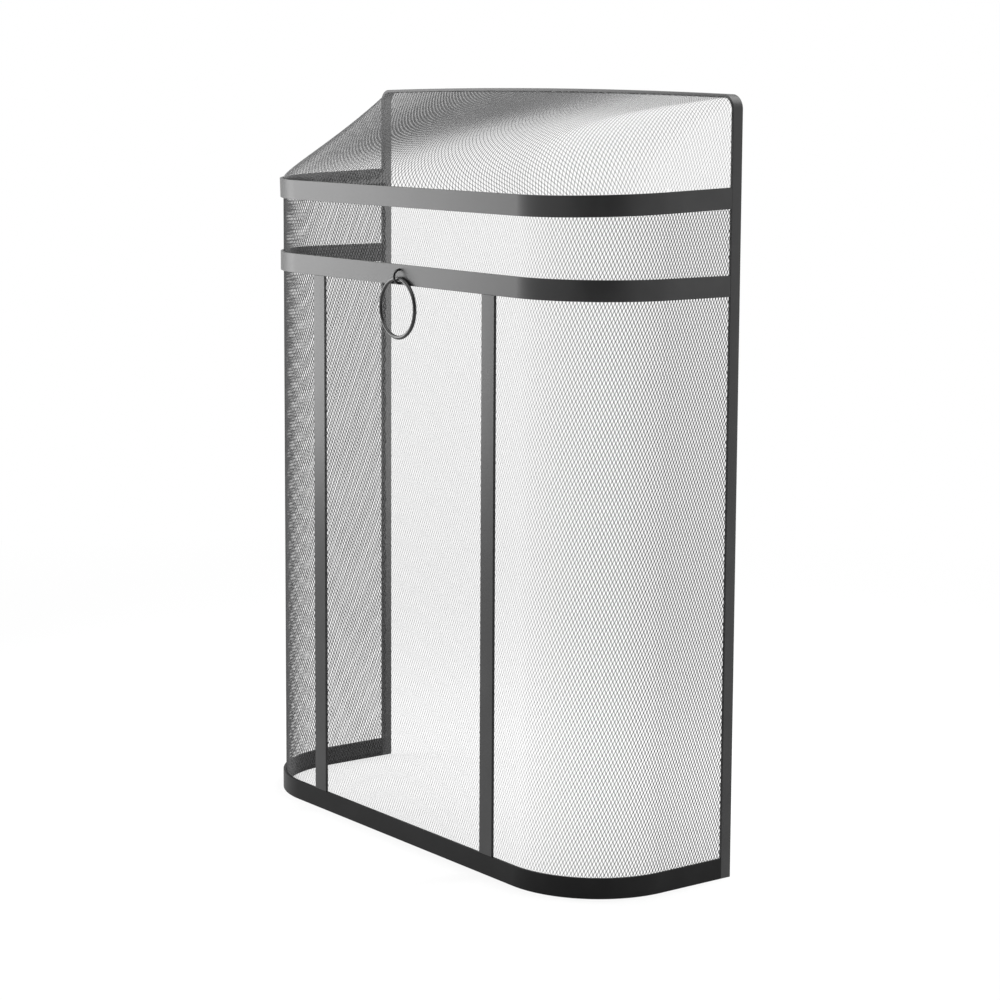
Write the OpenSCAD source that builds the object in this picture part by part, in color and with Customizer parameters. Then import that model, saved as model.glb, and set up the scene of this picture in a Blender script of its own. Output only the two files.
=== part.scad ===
// Wrap-round spark guard: a flat-bar frame bent round three sides of a hearth, an
// expanded-metal screen inside it, a sloping mesh hood and a pull ring on the front.
// Millimetres. +Z is up, the front faces -Y and the back, towards the fire, is open.
// The origin is at the middle of the whole guard, on the floor.

/* [Overall] */
// Width over the side bars
screen_w = 578; // [420:2:900]
// Depth from the face of the front bars to the back of the arch
screen_d = 188; // [150:2:320]
// Height of the arch at its two legs
screen_h = 750; // [700:5:900]
// Rise of the top of the arch from its legs to mid-width
crown = 4; // [2:0.5:8]
// Outer radius of the two front corners in plan
corner_r = 100; // [50:1:120]

/* [Bars] */
// Thickness of every flat bar
bar_t = 3; // [2:0.5:5]
// Width of the bands and of the front bars
band_w = 20; // [16:1:30]
// Width of the bar of the back arch, front to back
arch_w = 12; // [10:1:20]
// Outer radius of the top corners of the arch
arch_r = 14; // [8:1:30]
// Height of the hood, from the front of the upper band to the arch's legs
hood_h = 92; // [60:1:110]
// Clear height between the middle band and the upper band
band_gap = 56; // [30:1:120]
// Slope of the upper band, rising towards the arch, in degrees
rim_tilt = 2; // [0:0.25:3]
// Distance of each front bar from mid-width
front_bar_x = 145; // [60:1:170]

/* [Mesh] */
// Thickness of the expanded sheet
mesh_t = 0.8; // [0.6:0.1:1.5]
// Width of one diamond of the screen's lattice
cell_w = 70; // [60:1:90]
// Height of one diamond of the screen's lattice
cell_h = 71; // [60:1:90]
// Width of the solid edge by which the sheet is welded to the bars
edge_w = 5; // [3:0.5:10]
// Height of the lower edge of the sheet
mesh_z = 5; // [2:0.5:15]
// Lap of the sheet on the inner face of the arch
mesh_lap = 5; // [2:0.5:9]
// Room that the weld leaves between the hood and the top of the arch
weld_gap = 0.25; // [0.1:0.05:0.5]
// How far the hood stands up out of the upper band at the left before it leans back
left_fold = 8; // [4:1:40]
// How far it stands up at the right; the fold climbs across the front
right_fold = 86; // [20:1:90]
// Height of the hood's back edges where they leave the upper band
hood_start = 4; // [2:0.5:8]
// How far the pull of the hood's own weight draws its middle in
hood_sag = 3; // [0:0.5:6]

/* [Pull] */
// Outside diameter of the pull ring
ring_d = 62; // [40:1:80]
// Diameter of the ring's wire
ring_wire = 4; // [3:0.25:6]
// Diameter of the staple's wire
staple_wire = 2.5; // [2:0.25:4]
// Reach of the staple out of the middle band
staple_reach = 8; // [7.5:0.25:12]
// Height of the staple's middle above the lower edge of the middle band
staple_z = 8.25; // [8:0.25:12]
// Running gap between the ring and what it hangs on and against
ring_gap = 0.3; // [0.2:0.05:0.6]

/* [Hidden] */

bar_colour = [0.16, 0.16, 0.17];
mesh_colour = [0.33, 0.33, 0.35];

back_y = (screen_d + staple_reach) / 2; // back face of the arch
front_y = back_y - screen_d;            // outer face of the front bars
arch_y = back_y - arch_w;               // front edges of the arch's legs
side_x = screen_w / 2;                  // outer face of the side bars
bend_x = side_x - corner_r;             // centre of a front corner's bend
bend_y = front_y + corner_r;
rim_z = screen_h - hood_h - band_w;     // lower edge of the upper band, at the front
middle_z = rim_z - band_gap - band_w;   // lower edge of the middle band
rim_top_z = rim_z + band_w;
hood_z = rim_z + band_w / 2;            // where the screen ends and the hood starts
lap_y = arch_y + mesh_lap;              // back edges of the screen

// The top of the arch is one long arc through its middle and its two legs.
crown_r = (pow(side_x, 2) + pow(crown, 2)) / (2 * crown);
crown_mid_z = screen_h + crown - crown_r;
function crown_z(x, inset) = crown_mid_z + sqrt(pow(crown_r - inset, 2) - pow(x, 2));
head_x = side_x - arch_r;               // centre of the arch's corner bends
head_z = crown_z(head_x, 0) - arch_r;

// A strip bent round the three sides: its outer face lies inset behind the outer face
// of the bars, it is t thick and h high, and its ends are at end_y.
module wrapped_strip(inset, t, h, end_y) {
  r = corner_r - inset;
  translate([-bend_x, front_y + inset, 0])
    cube([2 * bend_x, t, h]);
  for (side = [0, 1])
    mirror([side, 0, 0]) {
      translate([bend_x, bend_y, 0])
        rotate([0, 0, -90])
          rotate_extrude(angle = 90, $fn = 180)
            translate([r - t, 0])
              square([t, h]);
      translate([side_x - inset - t, bend_y, 0])
        cube([t, end_y - bend_y, h]);
    }
}

module band() {
  wrapped_strip(0, bar_t, band_w, arch_y);
}

// ---- frame ---------------------------------------------------------------------

module arch_outline(inset) {
  intersection() {
    translate([0, crown_mid_z])
      circle(crown_r - inset, $fn = 720);
    translate([-head_x, -inset])
      square([2 * head_x, screen_h + 2 * crown]);
  }
  for (side = [-1, 1])
    translate([side * head_x, head_z])
      circle(arch_r - inset, $fn = 96);
  translate([-side_x + inset, -inset])
    square([screen_w - 2 * inset, head_z + inset]);
}

module back_arch() {
  color(bar_colour)
    translate([0, back_y, 0])
      rotate([90, 0, 0])
        linear_extrude(arch_w)
          difference() {
            arch_outline(0);
            arch_outline(bar_t);
          }
}

module bottom_band() {
  color(bar_colour)
    band();
}

module middle_band() {
  color(bar_colour)
    translate([0, 0, middle_z])
      band();
}

// The upper band rises towards the arch, and its ends are cut plumb to meet the legs.
module upper_band() {
  color(bar_colour)
    intersection() {
      translate([0, front_y, rim_z])
        rotate([rim_tilt, 0, 0])
          translate([0, -front_y, 0])
            wrapped_strip(0, bar_t, band_w, arch_y + band_w);
      translate([-screen_w, front_y - band_w, 0])
        cube([2 * screen_w, arch_y - front_y + band_w, screen_h]);
    }
}

module front_bar() {
  color(bar_colour)
    translate([-band_w / 2, front_y, band_w])
      cube([band_w, bar_t, middle_z - band_w]);
}

module left_front_bar() {
  translate([-front_bar_x, 0, 0])
    front_bar();
}

module right_front_bar() {
  translate([front_bar_x, 0, 0])
    front_bar();
}

// ---- expanded metal ------------------------------------------------------------

sheet_x = side_x - bar_t;               // outer face of the sheet at the sides
sheet_r = corner_r - bar_t;             // and its bend radius
bend_run = sheet_r * PI / 2;
sheet_run = bend_x + bend_run + lap_y - bend_y; // from mid-width to a back edge
sheet_h = hood_z - mesh_z;

// The sheet is slit and drawn into diamonds. A cell is cell_steps steps each way, and
// its strands are strand_steps steps across.
cell_steps = 10;
strand_steps = 2;
open_share = 1 - strand_steps / cell_steps;
cells_across = round(2 * sheet_run / cell_w);
cells_high = round(sheet_h / cell_h);
pitch_s = 2 * sheet_run / cells_across;
pitch_z = sheet_h / cells_high;

// Place on the bent sheet at a distance s from mid-width: x, y and the turn of the face.
function on_sheet(s) =
  let (a = abs(s), k = s < 0 ? -1 : 1, turn = (a - bend_x) / sheet_r * 180 / PI)
    a <= bend_x ? [s, front_y + bar_t, 0]
    : a <= bend_x + bend_run
      ? [k * (bend_x + sheet_r * sin(turn)), bend_y - sheet_r * cos(turn), k * turn]
      : [k * sheet_x, bend_y + a - bend_x - bend_run, k * 90];

// One diamond, drawn flat round its own middle, which lies at [s, z] on the sheet. It
// stops short of the sheet's solid edges.
module diamond(s, z) {
  w = pitch_s * open_share / 2;
  h = pitch_z * open_share / 2;
  intersection() {
    polygon([[-w, 0], [0, -h], [w, 0], [0, h]]);
    translate([edge_w - sheet_run - s, edge_w - z])
      square([2 * (sheet_run - edge_w), sheet_h - 2 * edge_w]);
  }
}

module diamonds() {
  depth = pitch_s / 4;                  // deep enough to pass a bent corner's face
  for (col = [0 : 2 * cells_across], row = [0 : 2 * cells_high])
    if ((col + row) % 2 == 0) {
      s = (col - cells_across) * pitch_s / 2;
      z = row * pitch_z / 2;
      spot = on_sheet(s);
      translate([spot[0], spot[1], z])
        rotate([0, 0, spot[2]])
          rotate([90, 0, 0])
            linear_extrude(depth, center = true)
              diamond(s, z);
    }
}

module wrap_mesh() {
  color(mesh_colour)
    translate([0, 0, mesh_z])
      difference() {
        wrapped_strip(bar_t, mesh_t, sheet_h, lap_y);
        diamonds();
      }
}

// ---- hood ----------------------------------------------------------------------

// The hood is a fan of rulings from the upper band to the arch. Each station gives the
// foot of a ruling, in plan, and its head under the arch.
arch_in_x = side_x - bar_t - weld_gap;
arch_in_r = arch_r - bar_t - weld_gap;
side_steps = cell_steps;
bend_steps = cell_steps * 1.5;
front_steps = cell_steps * 3.5;
slope_steps = cell_steps * 3;
function rim_at(y) = rim_top_z + tan(rim_tilt) * (y - front_y);
first_head_z = rim_at(arch_y) + hood_start; // head of the shortest ruling, on a leg

function side_station(f) =
  [[sheet_x, lerp(arch_y, bend_y, f)], [arch_in_x, arch_y, lerp(first_head_z, head_z, f)]];

function bend_station(f) =
  let (a = 90 * f)
    [[bend_x + sheet_r * cos(a), bend_y - sheet_r * sin(a)],
     [head_x + arch_in_r * cos(a), arch_y, head_z + arch_in_r * sin(a)]];

function front_station(f) =
  let (x = head_x * (1 - f))
    [[bend_x * (1 - f), front_y + bar_t], [x, arch_y, crown_z(x, bar_t + weld_gap)]];

half_stations = concat(
  [for (i = [0 : side_steps - 1]) side_station(i / side_steps)],
  [for (i = [0 : bend_steps]) bend_station(i / bend_steps)],
  [for (i = [1 : front_steps]) front_station(i / front_steps)]
);
last = len(half_stations) - 1;
function mirrored(st) = [[-st[0][0], st[0][1]], [-st[1][0], st[1][1], st[1][2]]];
stations = concat(half_stations, [for (i = [1 : last]) mirrored(half_stations[last - i])]);

function lerp(a, b, f) = a + (b - a) * f;
function unit(v) = v / norm(v);
function bezier(a, b, c, d, f) =
  pow(1 - f, 3) * a + 3 * pow(1 - f, 2) * f * b + 3 * (1 - f) * pow(f, 2) * c + pow(f, 3) * d;

// Direction from the sheet's foot into the guard, in plan.
function inward(p) =
  let (dx = abs(p[0]) - bend_x, dy = bend_y - p[1], k = p[0] < 0 ? 1 : -1)
    unit([k * max(dx, 0), max(dy, 0), 0]);

// Up a ruling from the upper band's edge to its head: the fold over the band, then the
// slope. At the right the fold is tall and turns on to a flat top; towards the left it
// gets lower, until the hood leans back almost at once and sags.
full_sag = 150;                         // rulings from this length on sag in full
bezier_pull = 0.375;                    // share of a knee's offset that the curve takes
knee_share = 0.44;                      // knee of a ruling, as a share of its slope
curve_steps = 16;
head_room = 0.93;                       // highest fold, as a share of a ruling's rise
function tallness(x) = let (left = (bend_x - x) / (2 * bend_x)) 1 - pow(min(max(left, 0), 1), 1.5);
function curve(st) =
  let (
    edge = [st[0][0], st[0][1], rim_at(st[0][1])],
    head = st[1],
    tall = tallness(st[0][0]),
    stand = lerp(left_fold, right_fold, tall),
    fold = edge + [0, 0, min(stand, (head[2] - edge[2]) * head_room)],
    sag = hood_sag / bezier_pull * min(norm(head - fold) / full_sag, 1) * (1 - tall),
    knee = lerp(fold, head, knee_share) + sag * (0.6 * inward(st[0]) - [0, 0, 0.8])
  )
    [for (k = [0 : curve_steps]) bezier(edge, fold, knee, head, k / curve_steps)];

// A line's points moved along it, so that they lie at even steps.
function even(line, steps) =
  let (
    last_one = len(line) - 1,
    runs = [for (k = 0, run = 0; k <= last_one;
                 run = run + (k < last_one ? norm(line[k + 1] - line[k]) : 0), k = k + 1) run]
  )
    [for (n = [0 : steps])
      let (
        goal = runs[last_one] * n / steps,
        k = min(len([for (run = runs) if (run <= goal) 1]), last_one) - 1
      )
        lerp(line[k], line[k + 1], min((goal - runs[k]) / (runs[k + 1] - runs[k]), 1))];

// The whole ruling: the lap inside the band, the even slope and the lap under the arch.
rows = slope_steps + 2;
hood_grid = [
  for (st = stations)
    concat(
      [[st[0][0], st[0][1], hood_z]],
      even(curve(st), slope_steps),
      [st[1] + [0, mesh_lap, 0]]
    )
];

// Unit normal of the hood, pointing into the guard. Across the rulings it is taken at
// mid-height, where neighbouring rulings always lie apart.
mid_row = slope_steps / 2;
function hood_normal(i, j) =
  unit(cross(
    hood_grid[min(i + 1, 2 * last)][mid_row] - hood_grid[max(i - 1, 0)][mid_row],
    hood_grid[i][min(j + 1, rows)] - hood_grid[i][max(j - 1, 0)]
  ));

// Whether the lattice is solid at a point of the grid, counted in stations from a leg
// and in steps up from the foot. The laps, an edge one step wide and the narrow ends by
// the legs stay whole.
leg_steps = 3;
function is_strand(p, q) =
  let (
    half = cell_steps / 2,
    a = floor(p / half),
    b = floor(q / half),
    v = q - b * half,
    t = p - a * half + ((a + b) % 2 == 0 ? v : half - v)
  )
    abs(t - half) < strand_steps / 2;
function is_solid(p, j) =
  let (q = j - 1)
    p > 0 && p < 2 * last && j > 0 && j < rows
    && (q < 1 || q > slope_steps - 1 || p < leg_steps || p > 2 * last - leg_steps
        || is_strand(p, q));

// The two triangles of a patch of the grid, parted along the strands and clockwise as
// seen from outside.
function halves(i, j) =
  let (
    a = [i, j], b = [i + 1, j], c = [i + 1, j + 1], d = [i, j + 1],
    half = cell_steps / 2,
    falls = (floor((i + 0.5) / half) + floor((j - 0.5) / half)) % 2 == 0
  )
    falls ? [[a, b, d], [b, c, d]] : [[a, b, c], [a, c, d]];

module hood_sheet() {
  n = rows + 1;
  inner = (2 * last + 1) * n;
  outer_points = [for (line = hood_grid) each line];
  inner_points = [
    for (i = [0 : 2 * last], j = [0 : rows]) hood_grid[i][j] + mesh_t * hood_normal(i, j)
  ];
  faces = [
    for (i = [0 : 2 * last - 1], j = [0 : rows - 1], tri = halves(i, j))
      let (
        middle = (tri[0] + tri[1] + tri[2]) / 3,
        at = [for (c = tri) c[0] * n + c[1]]
      )
        if (is_solid(middle[0], middle[1]))
          each concat(
            [at, [inner + at[2], inner + at[1], inner + at[0]]],
            [for (k = [0 : 2])
              let (
                m = (k + 1) % 3,
                rim = (tri[k] + tri[m]) / 2,
                past = rim + 0.2 * (rim - middle)
              )
                if (!is_solid(past[0], past[1]))
                  each [[at[m], at[k], inner + at[k]], [at[m], inner + at[k], inner + at[m]]]]
          )
  ];
  polyhedron(concat(outer_points, inner_points), faces, convexity = 10);
}

module hood_mesh() {
  color(mesh_colour)
    hood_sheet();
}

// ---- pull ring and its staple ----------------------------------------------------

staple_r = staple_reach - staple_wire / 2;
ring_r = (ring_d - ring_wire) / 2;
staple_mid_z = middle_z + staple_z;
hang_y = ring_wire / 2 + ring_gap;      // ring wire in front of the band's face
hang_room = staple_r - staple_wire / 2 - ring_wire / 2 - ring_gap;
ring_top_z = staple_mid_z - sqrt(pow(hang_room, 2) - pow(hang_y, 2));

module pull_staple() {
  color(bar_colour)
    translate([0, front_y, staple_mid_z])
      rotate([0, 90, 0])
        rotate([0, 0, 180])
          rotate_extrude(angle = 180, $fn = 96)
            translate([staple_r, 0])
              circle(d = staple_wire, $fn = 48);
}

module pull_ring() {
  color(bar_colour)
    translate([0, front_y - hang_y, ring_top_z - ring_r])
      rotate([90, 0, 0])
        rotate_extrude($fn = 144)
          translate([ring_r, 0])
            circle(d = ring_wire, $fn = 48);
}

back_arch();
bottom_band();
middle_band();
upper_band();
left_front_bar();
right_front_bar();
wrap_mesh();
hood_mesh();
pull_staple();
pull_ring();
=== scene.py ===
"""Dress a wrap-round spark guard: flat black bars, expanded-metal screen and pull ring."""
import logging
import math
from collections.abc import Callable
from dataclasses import dataclass, field
from enum import Enum

import bpy
import numpy as np
from mathutils import Matrix, Vector
from mathutils.bvhtree import BVHTree


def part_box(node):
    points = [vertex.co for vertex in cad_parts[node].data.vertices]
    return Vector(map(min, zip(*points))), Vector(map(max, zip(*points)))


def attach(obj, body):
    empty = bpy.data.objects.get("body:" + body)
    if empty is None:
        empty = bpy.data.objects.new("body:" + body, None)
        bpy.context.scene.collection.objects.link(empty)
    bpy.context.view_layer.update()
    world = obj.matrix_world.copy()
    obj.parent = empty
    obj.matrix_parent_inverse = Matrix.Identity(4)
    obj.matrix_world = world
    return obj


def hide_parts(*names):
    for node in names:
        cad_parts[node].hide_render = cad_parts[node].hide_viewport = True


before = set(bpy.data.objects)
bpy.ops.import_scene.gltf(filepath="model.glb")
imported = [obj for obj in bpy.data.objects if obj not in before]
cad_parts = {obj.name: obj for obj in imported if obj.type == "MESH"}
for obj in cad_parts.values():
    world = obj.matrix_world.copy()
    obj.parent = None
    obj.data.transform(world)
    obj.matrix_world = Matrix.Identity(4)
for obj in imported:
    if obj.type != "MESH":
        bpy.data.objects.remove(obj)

log = logging.getLogger("spark_guard")
logging.basicConfig(level=logging.INFO, format="%(message)s")

MM = 0.001
NEAR = 1e-6  # metres within which two places are one
TINY = 1e-12  # keeps a length that may be nothing from dividing by nought
SHARP = math.radians(40)  # bars' edges sharper than this are rounded
SMOOTH = math.radians(35)  # bars' edges softer than this are shaded smooth
WIRE_SMOOTH = math.radians(50)  # and so are a wire's
COTANGENTS = (0.02, 50)  # a sliver's weights are held within these when a sheet is unrolled
Place = tuple[float, float, float]
Test = Callable[[Vector], bool]


class Kind(Enum):
    """What a selection picks."""

    POINTS = "VERT"
    FACES = "FACE"


# ---- bench: the few moves that every piece is made with ----


def clear_selection() -> None:
    """Leave nothing selected and no object in edit mode."""
    if bpy.context.object and bpy.context.object.mode != "OBJECT":
        bpy.ops.object.mode_set(mode="OBJECT")
    bpy.ops.object.select_all(action="DESELECT")


def pick(*objects: bpy.types.Object) -> None:
    """Select some objects and make the first one active.

    Args:
        objects: The objects to work on.
    """
    clear_selection()
    for one in objects:
        one.select_set(True)
    bpy.context.view_layer.objects.active = objects[0]


def settle(piece: bpy.types.Object) -> None:
    """Put a piece's place, turn and scale into its mesh."""
    pick(piece)
    bpy.ops.object.transform_apply(location=True, rotation=True, scale=True)


def choose(piece: bpy.types.Object, kind: Kind, test: Test) -> None:
    """Select, in edit mode, the elements whose middle passes a test.

    Args:
        piece: The mesh object, left in edit mode.
        kind: Whether points or faces are picked.
        test: Takes the element's middle and says whether it is picked.
    """
    bpy.ops.object.mode_set(mode="EDIT")
    bpy.ops.mesh.select_mode(type="VERT")
    bpy.ops.mesh.select_all(action="DESELECT")
    bpy.ops.mesh.select_mode(type=kind.value)
    bpy.ops.object.mode_set(mode="OBJECT")
    if kind is Kind.POINTS:
        for v in piece.data.vertices:
            v.select = test(v.co)
    else:
        for f in piece.data.polygons:
            f.select = test(f.center)
    bpy.ops.object.mode_set(mode="EDIT")


def leave_edit() -> None:
    """Go back to object mode."""
    bpy.ops.object.mode_set(mode="OBJECT")


def block(name: str, low: Place, high: Place) -> bpy.types.Object:
    """Add a cube primitive between two corners.

    Args:
        name: Name of the new piece.
        low: Lowest corner in metres.
        high: Highest corner in metres.

    Returns:
        The piece, with its size and place in its mesh.
    """
    clear_selection()
    middle = [(a + b) / 2 for a, b in zip(low, high)]
    bpy.ops.mesh.primitive_cube_add(size=1, location=middle)
    piece = bpy.context.object
    piece.name = piece.data.name = name
    piece.scale = [b - a for a, b in zip(low, high)]
    settle(piece)
    return piece


def push_out(step: Place) -> None:
    """Extrude the selected faces by a step in metres."""
    bpy.ops.mesh.extrude_region_move(TRANSFORM_OT_translate={"value": step})


def repeat(piece: bpy.types.Object, count: int, step: Place, weld: bool = False) -> None:
    """Copy a piece in a row with an applied Array modifier.

    Args:
        piece: The piece to repeat.
        count: How many there are in the end.
        step: Offset from one to the next in metres.
        weld: Whether each copy joins the next where they touch.
    """
    pick(piece)
    bpy.ops.object.modifier_add(type="ARRAY")
    row = piece.modifiers[-1]
    row.count = count
    row.use_relative_offset = False
    row.use_constant_offset = True
    row.constant_offset_displace = step
    row.use_merge_vertices = weld
    row.merge_threshold = NEAR
    bpy.ops.object.modifier_apply(modifier=row.name)


def soften(piece: bpy.types.Object, width: float) -> None:
    """Round a piece's sharp edges and shade it smooth, its flat faces even.

    Args:
        piece: The piece to finish.
        width: Width of the rounding in metres.
    """
    pick(piece)
    bpy.ops.object.modifier_add(type="BEVEL")
    edge = piece.modifiers[-1]
    edge.width = width
    edge.segments = 2
    edge.limit_method = "ANGLE"
    edge.angle_limit = SHARP
    bpy.ops.object.modifier_apply(modifier=edge.name)
    bpy.ops.object.shade_smooth_by_angle(angle=SMOOTH)
    bpy.ops.object.modifier_add(type="WEIGHTED_NORMAL")
    even = piece.modifiers[-1]
    even.mode = "FACE_AREA"
    even.keep_sharp = True
    bpy.ops.object.modifier_apply(modifier=even.name)


# ---- sizes ----


@dataclass(frozen=True)
class GuardSizes:
    """Sizes that the frame gives, with the few that a box cannot tell, in metres.

    Attributes:
        half_width: From the middle to the bars' outer face at a side.
        front_y: Front face of the bands.
        arch_y: Front face of the arch.
        back_y: Back face of the arch.
        mesh_low: Lower edge of the upright screen.
        hood_z: Its upper edge, where the hood starts.
        lap_y: Back edge of both sheets, lapped on the arch.
        bar: Thickness of every flat bar.
        corner: Outer radius of a front corner.
        arch_corner: Outer radius of the arch's corners.
        leg_z: Height of the arch without its crown.
        crown: How far the arch's top rises in the middle.
        rim_tilt: Slope of the upper band towards the arch, in degrees.
    """

    half_width: float
    front_y: float
    arch_y: float
    back_y: float
    mesh_low: float
    hood_z: float
    lap_y: float
    bar: float = 3 * MM
    band: float = 20 * MM
    corner: float = 100 * MM
    arch_corner: float = 14 * MM
    leg_z: float = 750 * MM
    crown: float = 4 * MM
    rim_tilt: float = 2.0

    @classmethod
    def from_frame(cls) -> "GuardSizes":
        """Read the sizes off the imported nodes' boxes."""
        arch_low, arch_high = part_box("back_arch")
        front_low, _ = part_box("bottom_band")
        mesh_low, mesh_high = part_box("wrap_mesh")
        return cls(arch_high.x, front_low.y, arch_low.y, arch_high.y,
                   mesh_low.z, mesh_high.z, mesh_high.y)

    @property
    def bend_x(self) -> float:
        """Centre of a front corner's bend, across."""
        return self.half_width - self.corner

    @property
    def bend_y(self) -> float:
        """Centre of a front corner's bend, from front to back."""
        return self.front_y + self.corner

    @property
    def crown_radius(self) -> float:
        """Radius of the long arc of the arch's top."""
        return (self.half_width ** 2 + self.crown ** 2) / (2 * self.crown)

    def crown_z(self, x: float, inset: float = 0.0) -> float:
        """Height of the arch's top at x, an inset below its outer face."""
        middle = self.leg_z + self.crown - self.crown_radius
        return middle + math.sqrt((self.crown_radius - inset) ** 2 - x ** 2)

    def rim_z(self, y: float) -> float:
        """Height of the upper band's top edge at y."""
        low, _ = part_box("upper_band")
        return low.z + self.band + math.tan(math.radians(self.rim_tilt)) * (y - self.front_y)


# ---- finishes ----


def dial(node: bpy.types.Node, values: dict[str, object]) -> None:
    """Set a node's inputs, given a value for each input's name."""
    for name, value in values.items():
        node.inputs[name].default_value = value


def paint_skin_group() -> bpy.types.NodeTree:
    """Build the shared texture of black stove paint: its mottle and its orange peel.

    Returns:
        A node group with Colour, Roughness and Height outputs.
    """
    tree = bpy.data.node_groups.new("stove_paint_skin", "ShaderNodeTree")
    for label, kind, value in (("Colour", "NodeSocketColor", (0.03, 0.03, 0.032, 1)),
                               ("Worn Colour", "NodeSocketColor", (0.06, 0.06, 0.062, 1)),
                               ("Roughness", "NodeSocketFloat", 0.4),
                               ("Roughness Spread", "NodeSocketFloat", 0.08),
                               ("Mottle Scale", "NodeSocketFloat", 30.0),
                               ("Peel Scale", "NodeSocketFloat", 1400.0)):
        tree.interface.new_socket(label, in_out="INPUT", socket_type=kind).default_value = value
    tree.interface.new_socket("Colour", in_out="OUTPUT", socket_type="NodeSocketColor")
    tree.interface.new_socket("Roughness", in_out="OUTPUT", socket_type="NodeSocketFloat")
    tree.interface.new_socket("Height", in_out="OUTPUT", socket_type="NodeSocketFloat")
    add, link = tree.nodes.new, tree.links.new
    given, out = add("NodeGroupInput"), add("NodeGroupOutput")
    where = add("ShaderNodeTexCoord")
    mottle = add("ShaderNodeTexNoise")
    dial(mottle, {"Detail": 5})
    link(where.outputs["Object"], mottle.inputs["Vector"])
    link(given.outputs["Mottle Scale"], mottle.inputs["Scale"])
    blotch = add("ShaderNodeMapRange")
    dial(blotch, {"From Min": 0.42, "From Max": 0.72})
    link(mottle.outputs["Fac"], blotch.inputs["Value"])
    shade = add("ShaderNodeMix")
    shade.data_type = "RGBA"
    link(blotch.outputs["Result"], shade.inputs["Factor"])
    link(given.outputs["Colour"], shade.inputs["A"])
    link(given.outputs["Worn Colour"], shade.inputs["B"])
    link(shade.outputs["Result"], out.inputs["Colour"])
    peel = add("ShaderNodeTexNoise")
    dial(peel, {"Detail": 2})
    link(where.outputs["Object"], peel.inputs["Vector"])
    link(given.outputs["Peel Scale"], peel.inputs["Scale"])
    link(peel.outputs["Fac"], out.inputs["Height"])
    rough = add("ShaderNodeMath")
    rough.operation = "MULTIPLY_ADD"
    link(mottle.outputs["Fac"], rough.inputs[0])
    link(given.outputs["Roughness Spread"], rough.inputs[1])
    link(given.outputs["Roughness"], rough.inputs[2])
    link(rough.outputs["Value"], out.inputs["Roughness"])
    return tree


@dataclass(frozen=True)
class StovePaint:
    """A black heat-proof paint on steel.

    Attributes:
        worn: Colour of the paler blotches.
        roughness: Least roughness.
        mottle: How many blotches there are to a metre.
        peel: How many bumps of orange peel there are to a metre.
        bump: How strongly they show.
        gloss: Level of its mirror shine.
        peel_deep: Depth of the orange peel in metres.
    """

    name: str
    slot: str
    colour: Place
    worn: Place
    roughness: float
    mottle: float = 30.0
    peel: float = 1400.0
    bump: float = 0.05
    gloss: float = 0.5
    peel_deep: float = 0.05 * MM

    def make(self, skin: bpy.types.NodeTree) -> bpy.types.Material:
        """Build the material.

        Args:
            skin: The shared paint texture.

        Returns:
            The finished material.
        """
        material = bpy.data.materials.new(self.name)
        material.use_nodes = True
        nodes, links = material.node_tree.nodes, material.node_tree.links
        shader = nodes["Principled BSDF"]
        dial(shader, {"Specular IOR Level": self.gloss})
        group = nodes.new("ShaderNodeGroup")
        group.node_tree = skin
        dial(group, {"Colour": (*self.colour, 1), "Worn Colour": (*self.worn, 1),
                     "Roughness": self.roughness, "Mottle Scale": self.mottle, "Peel Scale": self.peel})
        bump = nodes.new("ShaderNodeBump")
        dial(bump, {"Strength": self.bump, "Distance": self.peel_deep})
        links.new(group.outputs["Colour"], shader.inputs["Base Color"])
        links.new(group.outputs["Roughness"], shader.inputs["Roughness"])
        links.new(group.outputs["Height"], bump.inputs["Height"])
        links.new(bump.outputs["Normal"], shader.inputs["Normal"])
        return material


BAR_PAINT = StovePaint("bar_paint", "frame_black", (0.014, 0.014, 0.0145), (0.022, 0.022, 0.0225), 0.37)
# The bottom band's paint is the bar paint made darker and less glossy: painted shade that stands in for the
# shadowed floor the band reflects.
SHADED_FOOT_PAINT = StovePaint("shaded_foot_paint", "frame_black", (0.005, 0.005, 0.0052), (0.009, 0.009, 0.0092), 0.42,
                        gloss=0.15)
MESH_PAINT = StovePaint("mesh_paint", "mesh_black", (0.035, 0.035, 0.036), (0.05, 0.05, 0.051), 0.36)
RING_PAINT = StovePaint("ring_paint", "ring_black", (0.01, 0.01, 0.0105), (0.018, 0.018, 0.0185), 0.28,
                        mottle=60.0)


@dataclass
class Workshop:
    """Hands out finishes and puts finished pieces on their bodies."""

    skin: bpy.types.NodeTree = field(default_factory=paint_skin_group)
    made: dict[str, bpy.types.Material] = field(default_factory=dict)

    def finish(self, piece: bpy.types.Object, paint: StovePaint, body: str, *nodes: str) -> None:
        """Paint a piece, let it ride on a body and stand for CAD nodes.

        Args:
            piece: The finished piece.
            paint: Its finish.
            body: The body that it moves with.
            nodes: The CAD nodes that it stands for.
        """
        if paint.name not in self.made:
            self.made[paint.name] = paint.make(self.skin)
        piece.data.materials.clear()
        piece.data.materials.append(self.made[paint.name])
        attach(piece, body)
        if nodes:
            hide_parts(*nodes)
        triangles = sum(len(f.vertices) - 2 for f in piece.data.polygons)
        log.info("%s: %d triangles on %s", piece.name, triangles, body)


# ---- frame of flat bars ----


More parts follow.
